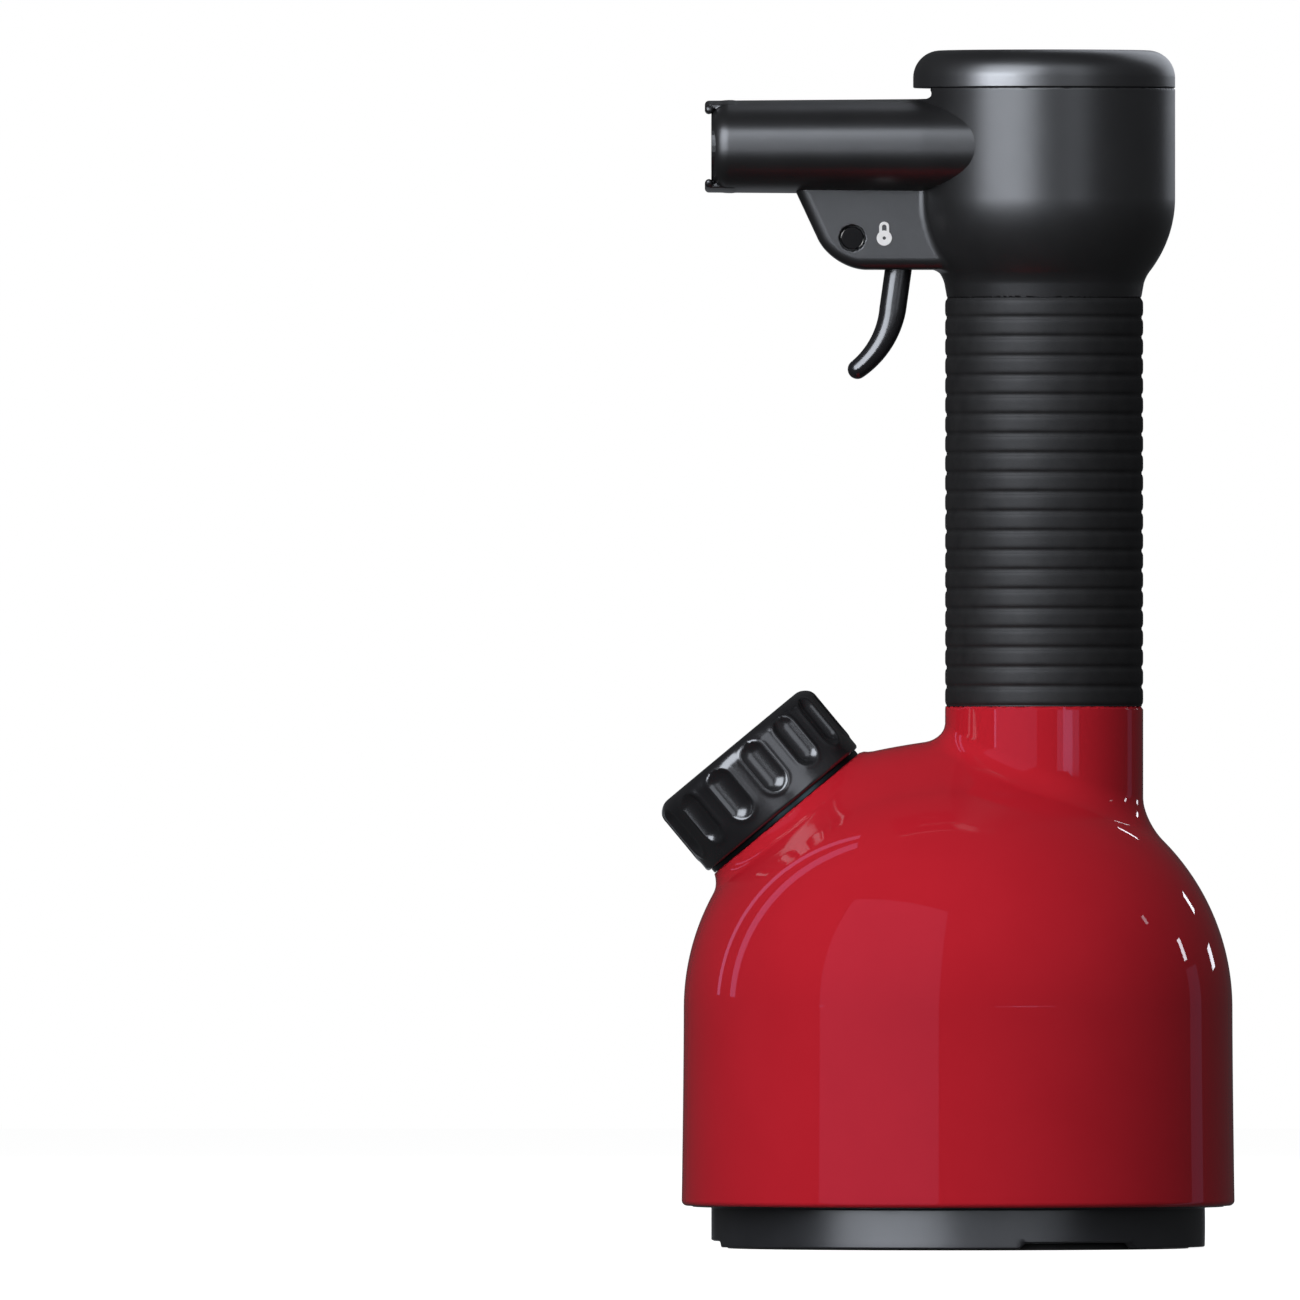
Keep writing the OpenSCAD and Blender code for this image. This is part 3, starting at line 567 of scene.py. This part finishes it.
def make_cap():
    """Cap with deep flutes, a low rim round each, and a fine groove round its top."""
    flute_r, flute_centre, reach, flute_z = 5.0, CAP_R + 3.6, 4.4, 12.8
    rim_h, rim_w = 0.25, 0.8
    corner_r = 4
    groove_r, groove_depth, groove_half = 17, 0.35, 0.7
    insert_r, insert_z, seal_r, foot = 13.9, 3.5, 22.8, 0.2
    pitch = 2 * math.pi / FLUTES

    def flutes(r, angle, z):
        side = (np.mod(angle - FLUTE_PHASE + pitch / 2, pitch) - pitch / 2) * CAP_R
        along = np.maximum(np.abs(z - flute_z) - reach, 0)
        off = np.hypot(side, along)
        depth = np.sqrt(np.maximum(flute_r ** 2 - off ** 2, 0)) - (flute_centre - CAP_R)
        rim_at = math.sqrt(flute_r ** 2 - (flute_centre - CAP_R) ** 2)
        rim = rim_h * np.exp(-((off - rim_at - 0.5) / rim_w) ** 2)
        edge = np.clip((r - CAP_R + 2.5) / 2.4, 0, 1)
        return r - edge * (np.maximum(depth, 0) - rim), z

    under = [(insert_r, insert_z), (insert_r, 0.5), (seal_r, 0.5), (seal_r, foot),
             (CAP_R - 1.0, foot), (CAP_R - 0.35, 0.35), (CAP_R - 0.05, 0.8)]
    wall = [(CAP_R, z) for z in np.arange(1.2, CAP_H - corner_r - 0.4, 0.33)]
    corner = [(CAP_R - corner_r + corner_r * math.cos(t), CAP_H - corner_r + corner_r * math.sin(t))
              for t in np.linspace(0, math.pi / 2, 12)]
    top = [(r, CAP_H - groove_depth * max(0, 1 - abs(r - groove_r) / groove_half))
           for r in (20, 18, 17.5, 17, 16.5, 16, 8, 0)]
    return turned_piece("filler_cap", under + wall + corner + top, "cap", "black_gloss", ["cap_knob"],
                        place=on_cap, turns=FLUTES * 34, shape=flutes)


def make_filler_ring():
    """Thin ring that fills the gap between the boss and the cap."""
    inner_r, r, low, high = 14.2, CAP_R - 1.2, -1.2, 0.17
    profile = rounded([(inner_r, low, 0), (r, low, 0.2), (r, high, 0.2), (inner_r, high, 0)])
    return turned_piece("filler_trim_ring", profile, "steamer", "filler_trim", ["filler_ring"],
                        place=on_cap, closed=True)


# ---------- grip ----------

def make_grip():
    """Sleeve of soft ribs, from the shell's neck to the head's collar."""
    ribs, groove = 21, 0.95
    pitch = (GRIP_TOP - NECK_TOP) / ribs
    inner = GRIP_R - 2.75
    profile = [(inner, NECK_TOP), (GRIP_R - 0.35, NECK_TOP)]
    for i in range(ribs):
        foot = NECK_TOP + i * pitch
        for t in np.linspace(0.06, 0.94, 15):
            bulge = 1 - abs(2 * t - 1) ** 5
            profile.append((GRIP_R - groove + groove * bulge ** 0.75, foot + t * pitch))
    profile += [(GRIP_R - 0.6, COLLAR_FOOT), (inner, COLLAR_FOOT)]
    return turned_piece("ribbed_grip", profile, "steamer", "grip_rubber", ["grip_sleeve"],
                        place=on_handle, closed=True, turns=144)


# ---------- head ----------

HEAD_WALL = 2.2
MOUTH_LIP = 1.6
SEAM_Z = LID_Z - 0.4
SEAM_GAP = 0.03
SCREWS = [(49, 309, 17), (47, 279.5, 17), (-45, 296.9, 18), (-37, 286.3, 8)]  # x, z, seat's y


def rod_y(x, z, at_x, at_z, r):
    """Endless rod along y."""
    return np.hypot(x - at_x, z - at_z) - r


def nozzle_tube(x, y, z):
    """Oval tube along x that widens a little towards the head."""
    power = 2.6
    widen = np.clip((x - MOUTH_X) / 60, 0, 1)
    a = 29.2 + 1.3 * widen
    b = 12.65 + 0.45 * widen
    u, v = np.abs(y) / a + 1e-6, np.abs(z - NOZZLE_Z) / b + 1e-6
    q = (u ** power + v ** power) ** (1 / power)
    steep = np.hypot(u ** (power - 1) / a, v ** (power - 1) / b) * q ** (1 - power)
    return np.maximum((q - 1) / np.maximum(steep, 1 / a), -b)


def trigger_house(x, y, z):
    """Housing under the nozzle, with a leaning front and a corner round the lock button."""
    lean = math.radians(25)
    front = -(x - LOCK[0]) * math.cos(lean) - (z - LOCK[2]) * math.sin(lean) - HOUSE_CORNER
    side = meet(front, HOUSE_FOOT - z, HOUSE_CORNER)
    side = np.maximum(side, np.maximum(z - NOZZLE_Z, x - HANDLE_X))
    return meet(side, np.abs(y) - HOUSE_HALF, 3.2)


def bowl(x, y, z):
    """Round head on its collar, with the trigger's housing."""
    mean_r = 34.6
    r = np.hypot(x - HANDLE_X, y)
    cup = (np.hypot(r / HEAD_R, np.minimum(z - BOWL_Z, 0) / BOWL_DEPTH) - 1) * mean_r
    cup = np.where(z > BOWL_Z, r - HEAD_R, cup)
    collar_r = GRIP_R + 0.18 * np.clip(z - GRIP_TOP - 3, -3.5, 8)
    core = join(cup, np.maximum(r - collar_r, z - BOWL_Z), 1)
    return join(core, trigger_house(x, y, z), 1.4)


def tube(x, y, z):
    """The nozzle's tube, ended inside the bowl."""
    return np.maximum(nozzle_tube(x, y, z), x - HANDLE_X + 10)


def head_room(x, y, z):
    """The hollow inside the head, narrower where the tube's end is rolled."""
    roll_length = 3
    roll = 0.5 * np.clip(MOUTH_X + MOUTH_LIP + roll_length - x, 0, roll_length)
    return np.minimum(bowl(x, y, z) + HEAD_WALL, tube(x, y, z) + HEAD_WALL + roll)


def mouth_end(x, y, z):
    """The tube ends in a soft roll, with a bead along its upper and its lower edge."""
    roll_r, bead_r, half = 5, 1.15, 17.0
    core = tube(x, y, z)
    roll = meet(core, MOUTH_X + MOUTH_LIP - x, roll_r)
    bead = np.hypot(x - MOUTH_X - bead_r, core + bead_r)
    bead = np.hypot(bead, np.maximum(np.abs(y) - half, 0)) - bead_r
    arm = np.maximum(slab(core, -bead_r, 0), slab(x, MOUTH_X + bead_r, MOUTH_X + 8))
    arm = meet(arm, np.abs(y) - half, 0.3)
    return join(roll, np.minimum(bead, arm), 0.45)


def hollowed(outside, x, y, z):
    """The shell in an outline, with its screw towers, the trigger's slot and the lock's hole."""
    tower_r, well_r, screw_r, screw_end = 4.4, 3.1, 1.6, -12
    slot_half, slot_x, slot_z = 6.7, (-21.8, -7.5), (264, 274)
    lock_r, recess_r, recess_depth = 3.1, 3.6, 1.3
    shell = carve(outside, head_room(x, y, z), 0.3)
    for at_x, at_z, seat in SCREWS:
        tower = np.maximum(outside, rod_y(x, z, at_x, at_z, tower_r))
        well = np.maximum(rod_y(x, z, at_x, at_z, well_r), seat - y)
        hole = np.maximum(rod_y(x, z, at_x, at_z, screw_r), screw_end - y)
        shell = np.maximum(carve(np.minimum(shell, tower), well, 0.3), -hole)
    slot = np.maximum(slab(x, *slot_x), np.maximum(np.abs(y) - slot_half, slab(z, *slot_z)))
    shell = carve(shell, slot, 0.4)
    lock = rod_y(x, z, LOCK[0], LOCK[2], lock_r)
    recess = rod_y(x, z, LOCK[0], LOCK[2], recess_r)
    recess = np.maximum(recess, HOUSE_HALF - recess_depth - np.abs(y))
    return carve(shell, np.minimum(lock, recess), 0.15)


def head_shell(x, y, z):
    """Bowl, collar and housing, with a relief at the front under the lid's lip."""
    relief_r, relief_depth, relief_in = 1.7, 3.4, 6
    from_front = x - HANDLE_X + HEAD_R
    outside = meet(bowl(x, y, z), z - SEAM_Z + SEAM_GAP, 0.35)
    outside = np.maximum(outside, COLLAR_FOOT - z)
    relief = np.hypot(np.maximum(from_front - relief_depth, 0), z - LID_Z + 1.75) - relief_r
    outside = carve(outside, np.maximum(relief, from_front - relief_in), 0.4)
    return hollowed(outside, x, y, z)


def nozzle_shell(x, y, z):
    """The nozzle's tube, up to the bowl."""
    outside = np.maximum(mouth_end(x, y, z), -bowl(x, y, z) - 1)
    return hollowed(outside, x, y, z)


def make_head():
    """Both halves, each with a bowl and a tube on grids that are finest at edges and curves."""
    seam = 0.04
    bowl_z = steps((GRIP_TOP - 0.5, 0.45), (HOUSE_FOOT + 1, 0.6), (LOCK[2] - 5, 0.4),
                   (LOCK[2] + 5, 0.8), (NOZZLE_Z - 9, 1.0), (NOZZLE_Z + 9, 0.5), (LID_Z + 0.6, 1))
    tube_z = steps((NOZZLE_Z - 14, 0.45), (NOZZLE_Z - 9, 0.8), (NOZZLE_Z + 9, 0.45),
                   (NOZZLE_Z + 14, 1))
    ys = steps((-0.3, 0.1), (0.6, 0.5), (HOUSE_HALF - 3.5, 0.4), (HOUSE_HALF + 1, 0.7),
               (HEAD_R + 1, 1))
    bowl_x = steps((LOCK[0] - 18, 0.5), (LOCK[0] - 5, 0.4), (LOCK[0] + 5, 0.8), (62, 1))
    tube_x = steps((MOUTH_X - 1, 0.35), (MOUTH_X + 3, 0.5), (MOUTH_X + 7, 1.0), (14, 1))
    halves = []
    for name, side, node in (("head_half_far", 1, "head_right_half"),
                             ("head_half_near", -1, "head_left_half")):
        across = ys if side > 0 else -ys[::-1]
        solids = []
        for shell, xs, zs in ((head_shell, bowl_x, bowl_z), (nozzle_shell, tube_x, tube_z)):
            def half(x, y, z, shell=shell, side=side):
                return meet(shell(x, y, z), seam - side * y, 0.22)
            solids.append((half, (xs, across, zs)))
        halves.append(shell_piece(name, solids, "steamer", "black_satin", [node]))
    return halves


def make_lid():
    """Cap of the head. Its skirt stops short over the relief at the front."""
    skin = 2.4
    seam, skirt_foot = SEAM_Z + SEAM_GAP, LID_Z - 3
    skirt_r, inner_r = HEAD_R - skin, HEAD_R - 2 * skin
    profile = rounded([
        (0, TOP, 0), (HEAD_R, TOP, 7.5), (HEAD_R, seam, 0.35), (skirt_r, seam, 0.2),
        (skirt_r, skirt_foot, 0.3), (inner_r, skirt_foot, 0.3), (inner_r, TOP - skin, 3),
        (0, TOP - skin, 0)], per_quarter=14)

    def relieved(r, angle, z):
        front = np.cos(angle) < -0.82
        return r, np.where(front, np.maximum(z, seam), z)

    return turned_piece("lid", profile, "steamer", "black_satin", ["head_lid"], place=on_handle,
                        turns=144, shape=relieved)


# ---------- trigger, lock and sign ----------

def lever_line(x, z):
    """Distance from the lever's centre line, which runs straight and then curls forwards, less
    half its thickness there."""
    lean, curl, bend, run = math.radians(8), math.radians(53), 25.0, 14.5
    half_t, slimmer = 3.7, 1
    start = np.array([PIVOT[0] - 1, PIVOT[2] - 11])
    along = np.array([-math.sin(lean), -math.cos(lean)])
    knee = start + run * along
    centre = knee + bend * np.array([-math.cos(lean), math.sin(lean)])
    t = np.clip((x - start[0]) * along[0] + (z - start[1]) * along[1], 0, run)
    straight = np.hypot(x - start[0] - t * along[0], z - start[1] - t * along[1]) - half_t
    turn = np.clip(np.arctan2(centre[1] - z, x - centre[0]), lean, curl)
    share = (turn - lean) / (curl - lean)
    arc = np.hypot(x - centre[0] - bend * np.cos(turn), z - centre[1] + bend * np.sin(turn))
    return np.minimum(straight, arc - half_t + slimmer * share)


def trigger_solid(x, y, z):
    """Curved lever hung from its hub, with a nose that pushes the valve and a horn in front."""
    lever_half, hub_half, nose_half, horn_half = 6, 8, 4, 2
    hub_r, pin_r, nose_r, nose_z, horn_t = 4, 1.56, 3.75, 277.5, 1.9
    lever = meet(lever_line(x, z), np.abs(y) - lever_half, 3.4)
    web = meet(slab(x, PIVOT[0] - 4.2, PIVOT[0] + 3.4), slab(z, PIVOT[2] - 13, PIVOT[2]), 1)
    web = meet(web, np.abs(y) - lever_half, 1)
    hub = meet(rod_y(x, z, PIVOT[0], PIVOT[2], hub_r), np.abs(y) - hub_half, 0.4)
    nose = meet(rod_y(x, z, PIVOT[0] + 3, nose_z, nose_r), np.abs(y) - nose_half, 0.5)
    horn = np.abs((z - PIVOT[2] + 0.2) * 0.97 - (x - PIVOT[0]) * 0.24) - horn_t
    horn = meet(horn, slab(x, PIVOT[0] - 11.5, PIVOT[0]), 0.6)
    horn = meet(horn, np.abs(y) - horn_half, 0.5)
    solid = join(join(join(lever, web, 1.5), hub, 1), join(nose, horn, 0.5), 1)
    return carve(solid, rod_y(x, z, PIVOT[0], PIVOT[2], pin_r), 0.2)


def make_trigger():
    low, high = span("trigger")
    grid = (steps((low[0] - 1, 0.32), (high[0] + 1, 1)), steps((-8.6, 0.4), (8.6, 1)),
            steps((low[2] - 1, 0.35), (high[2] + 1, 1)))
    return shell_piece("trigger_lever", [(trigger_solid, grid)], "trigger", "black_gloss",
                       ["trigger"])


def make_lock():
    """Round button across the housing, with a waist that the trigger's horn can pass."""
    low, high = span("lock_button")
    r, waist_r = (high[0] - low[0]) / 2, 1.3
    waist_half, waist_shift = 4.1, 1.5
    waist_low = LOCK[1] - waist_half - waist_shift
    waist_high = LOCK[1] + waist_half - waist_shift

    def across(points):
        return np.stack([points[:, 0] + LOCK[0], points[:, 2], points[:, 1] + LOCK[2]], 1)

    profile = rounded([
        (0, low[1], 0), (r, low[1], 0.25), (r, waist_low, 0.2), (waist_r, waist_low, 0.2),
        (waist_r, waist_high, 0.2), (r, waist_high, 0.2), (r, high[1], 0.6), (0, high[1], 0)],
        per_quarter=4)
    return turned_piece("lock_pin", profile, "lock_button", "black_gloss", ["lock_button"],
                        place=across, turns=64)


def make_sign():
    """A padlock with a round body, standing a little proud of the housing."""
    body_r, hole_r, bow_r, bow_half_t, bow_rise = 2.1, 0.45, 1.0, 0.4, 3.1
    edge = 0.5
    low, high = span("lock_mark")
    at_x, at_z = (low[0] + high[0]) / 2, LOCK[2]

    def sign(x, y, z):
        body = rod_y(x, z, at_x, at_z, body_r)
        hole = rod_y(x, z, at_x, at_z, hole_r)
        bow = np.hypot(x - at_x, np.maximum(z - at_z - bow_rise, 0))
        bow = np.maximum(np.abs(bow - bow_r) - bow_half_t, at_z - z)
        return np.maximum(np.maximum(np.minimum(body, bow), -hole), slab(y, low[1], high[1]))

    half = body_r + edge
    bow_top = bow_rise + bow_r + bow_half_t
    grid = (steps((at_x - half, 0.16), (at_x + half, 1)),
            steps((low[1] - 0.2, 0.1), (high[1] + 0.2, 1)),
            steps((at_z - half, 0.16), (at_z + bow_top + 0.4, 1)))
    return shell_piece("padlock_sign", [(sign, grid)], "steamer", "white_mark", ["lock_mark"])


# ---------- studio ----------

LIT_POINT = (0, 0, 0.15)


def lit_group(name, pieces, state):
    """Pieces that a light reaches alone (INCLUDE) or leaves out (EXCLUDE)."""
    group = bpy.data.collections.new(name)
    for piece in pieces:
        group.objects.link(piece)
    for entry in group.collection_objects:
        entry.light_linking.link_state = state
    return group


def panel(name, azimuths, elevations, glow, colour=(1, 1, 1), distance=2.0, diffuse=True,
          glossy=True, group=None):
    """A soft light that fills a span of directions, in degrees, as seen from the object.

    Azimuth 0 is the camera's side and 90 is to its right. glow is the light's radiance.
    """
    spans = (azimuths, elevations)
    turn, rise = (math.radians(sum(pair) / 2) for pair in spans)
    half_turn, half_rise = (math.radians(abs(pair[1] - pair[0]) / 2) for pair in spans)
    data = bpy.data.lights.new(name, "AREA")
    data.shape = "RECTANGLE"
    data.size = 2 * distance * math.tan(half_turn) * math.cos(rise)
    data.size_y = 2 * distance * math.tan(half_rise)
    data.energy = glow * math.pi * data.size * data.size_y
    data.color = colour
    light = bpy.data.objects.new(name, data)
    flat = math.cos(rise)
    away = Vector((math.sin(turn) * flat, -math.cos(turn) * flat, math.sin(rise)))
    light.location = Vector(LIT_POINT) + away * distance
    light.rotation_euler = away.to_track_quat("Z", "Y").to_euler()
    light.visible_camera, light.visible_diffuse, light.visible_glossy = False, diffuse, glossy
    light.light_linking.receiver_collection = group
    bpy.context.scene.collection.objects.link(light)


def make_floor():
    """A pale floor whose own light stays off the object."""
    half = 4.0
    corners = [(-half, -half, 0), (half, -half, 0), (half, half, 0), (-half, half, 0)]
    mesh = bpy.data.meshes.new("floor")
    mesh.from_pydata(corners, [], [(0, 1, 2, 3)])
    floor = bpy.data.objects.new("floor", mesh)
    bpy.context.scene.collection.objects.link(floor)
    paper = bpy.data.materials.new("paper")
    paper.use_nodes = True
    shader = paper.node_tree.nodes["Principled BSDF"]
    shader.inputs["Base Color"].default_value = (0.3, 0.3, 0.3, 1)
    shader.inputs["Roughness"].default_value = 0.9
    shader.inputs["Specular IOR Level"].default_value = 0.1
    shader.inputs["Emission Color"].default_value = (1, 1, 1, 1)
    shader.inputs["Emission Strength"].default_value = 0.96
    mesh.materials.append(paper)
    floor.visible_diffuse = floor.visible_glossy = False


def make_world():
    """A dim, cool room that the camera sees as white."""
    world = bpy.data.worlds.new("studio")
    world.use_nodes = True
    nodes, links = world.node_tree.nodes, world.node_tree.links
    room = nodes["Background"]
    room.inputs["Color"].default_value = (0.92, 0.95, 1.0, 1)
    room.inputs["Strength"].default_value = 0.045
    backdrop = nodes.new("ShaderNodeBackground")
    path, mix = nodes.new("ShaderNodeLightPath"), nodes.new("ShaderNodeMixShader")
    links.new(path.outputs["Is Camera Ray"], mix.inputs["Fac"])
    links.new(room.outputs["Background"], mix.inputs[1])
    links.new(backdrop.outputs["Background"], mix.inputs[2])
    links.new(mix.outputs["Shader"], nodes["World Output"].inputs["Surface"])
    backdrop.inputs["Color"].default_value = (1, 1, 1, 1)
    bpy.context.scene.world = world


def make_lights(red_body, base_ring, lid, halves, lock):
    """One large key from the left, seen softly by the black parts and faintly by the glossy red.

    The first four only light surfaces. The others are only seen in gloss, each by its group.
    """
    red = lit_group("red_alone", [red_body], "INCLUDE")
    others = lit_group("all_but_red", [red_body, lock], "EXCLUDE")
    base = lit_group("base_alone", [base_ring], "INCLUDE")
    lid_alone = lit_group("lid_alone", [lid], "INCLUDE")
    head = lit_group("head_alone", [lid, *halves], "INCLUDE")
    cool, violet = (0.86, 0.91, 1.0), (0.8, 0.56, 1.0)
    key = (0.5, 50)

    panel("key", (-60, -8), key, 3.9, distance=2.3, glossy=False)
    panel("front_fill", (15, 60), (5, 60), 0.5, distance=2.35, glossy=False)
    panel("side_fill", (60, 150), (5, 60), 0.12, distance=2.4, glossy=False)
    panel("back_fill", (150, 210), (5, 60), 0.8, distance=2.4, glossy=False)

    panel("key_sheen", (-60, -6), key, 5.9, cool, diffuse=False, group=others)
    panel("face_sheen", (-9, 9), (-7, 7), 0.6, cool, 2.15, diffuse=False, group=others)
    panel("front_sheen", (15, 41), key, 1.35, cool, diffuse=False, group=others)
    panel("side_sheen", (42, 125), key, 0.09, cool, diffuse=False, group=others)
    panel("lid_sheen", (-62, -22), (4, 17), 15.0, cool, 1.9, diffuse=False, group=lid_alone)
    panel("rim_sheen", (130, 175), (5, 50), 1.5, cool, diffuse=False, group=head)
    panel("back_sheen", (165, 195), (-25, 2), 0.25, cool, diffuse=False, group=others)
    for azimuths, glow in (((-60, -4), 4.2), ((5, 50), 1.5)):
        panel("base_sheen", azimuths, (-8, 0.5), glow, cool, 1.8, diffuse=False, group=base)

    panel("red_key", (-60, -8), (-40, 50), 0.36, violet, 2.1, diffuse=False, group=red)
    panel("red_side", (113, 123), (-40, 8), 0.15, violet, 2.1, diffuse=False, group=red)
    for azimuths, glow in (((-121, -118), 1.1), ((-111, -106), 1.0)):
        panel("red_strip", azimuths, (-0.5, 60), glow, (0.9, 0.5, 1.0), 1.2, diffuse=False,
              group=red)
    for azimuths, glow in (((-60.5, -58), 1.6), ((15, 41), 0.6), ((22, 33), 1.0)):
        panel("neck_strip", azimuths, (-0.4, -0.04), glow, violet, 4, diffuse=False, group=red)
    for azimuths, elevations, glow in (((114, 116.5), (10, 16), 8), ((138, 142), (4, 8), 5),
                                       ((140, 142.5), (14, 18), 7), ((99, 101), (25, 28), 3),
                                       ((150, 151), (27, 32), 7)):
        panel("glint", azimuths, elevations, glow, cool, 2.2, diffuse=False, group=red)


def make_camera():
    """Level, square on to the object's side, with the object at the right of the frame."""
    distance, frame_width, sensor = 16.0, 0.3582, 36.0
    aim_x, aim_z = -0.0849, 0.1648
    data = bpy.data.cameras.new("camera")
    data.sensor_width = sensor
    data.lens = sensor * distance / frame_width
    data.clip_start, data.clip_end = 0.05, 50
    camera = bpy.data.objects.new("camera", data)
    camera.location = (aim_x, -distance, aim_z)
    camera.rotation_euler = (math.pi / 2, 0, 0)
    bpy.context.scene.collection.objects.link(camera)
    bpy.context.scene.camera = camera
    bpy.context.scene.view_settings.view_transform = "Standard"


make_camera()
make_floor()
make_world()
finish_cad_nodes()
make_lights(make_red_shell(), make_base(), make_lid(), make_head(), make_lock())
make_cap()
make_filler_ring()
make_grip()
make_trigger()
make_sign()
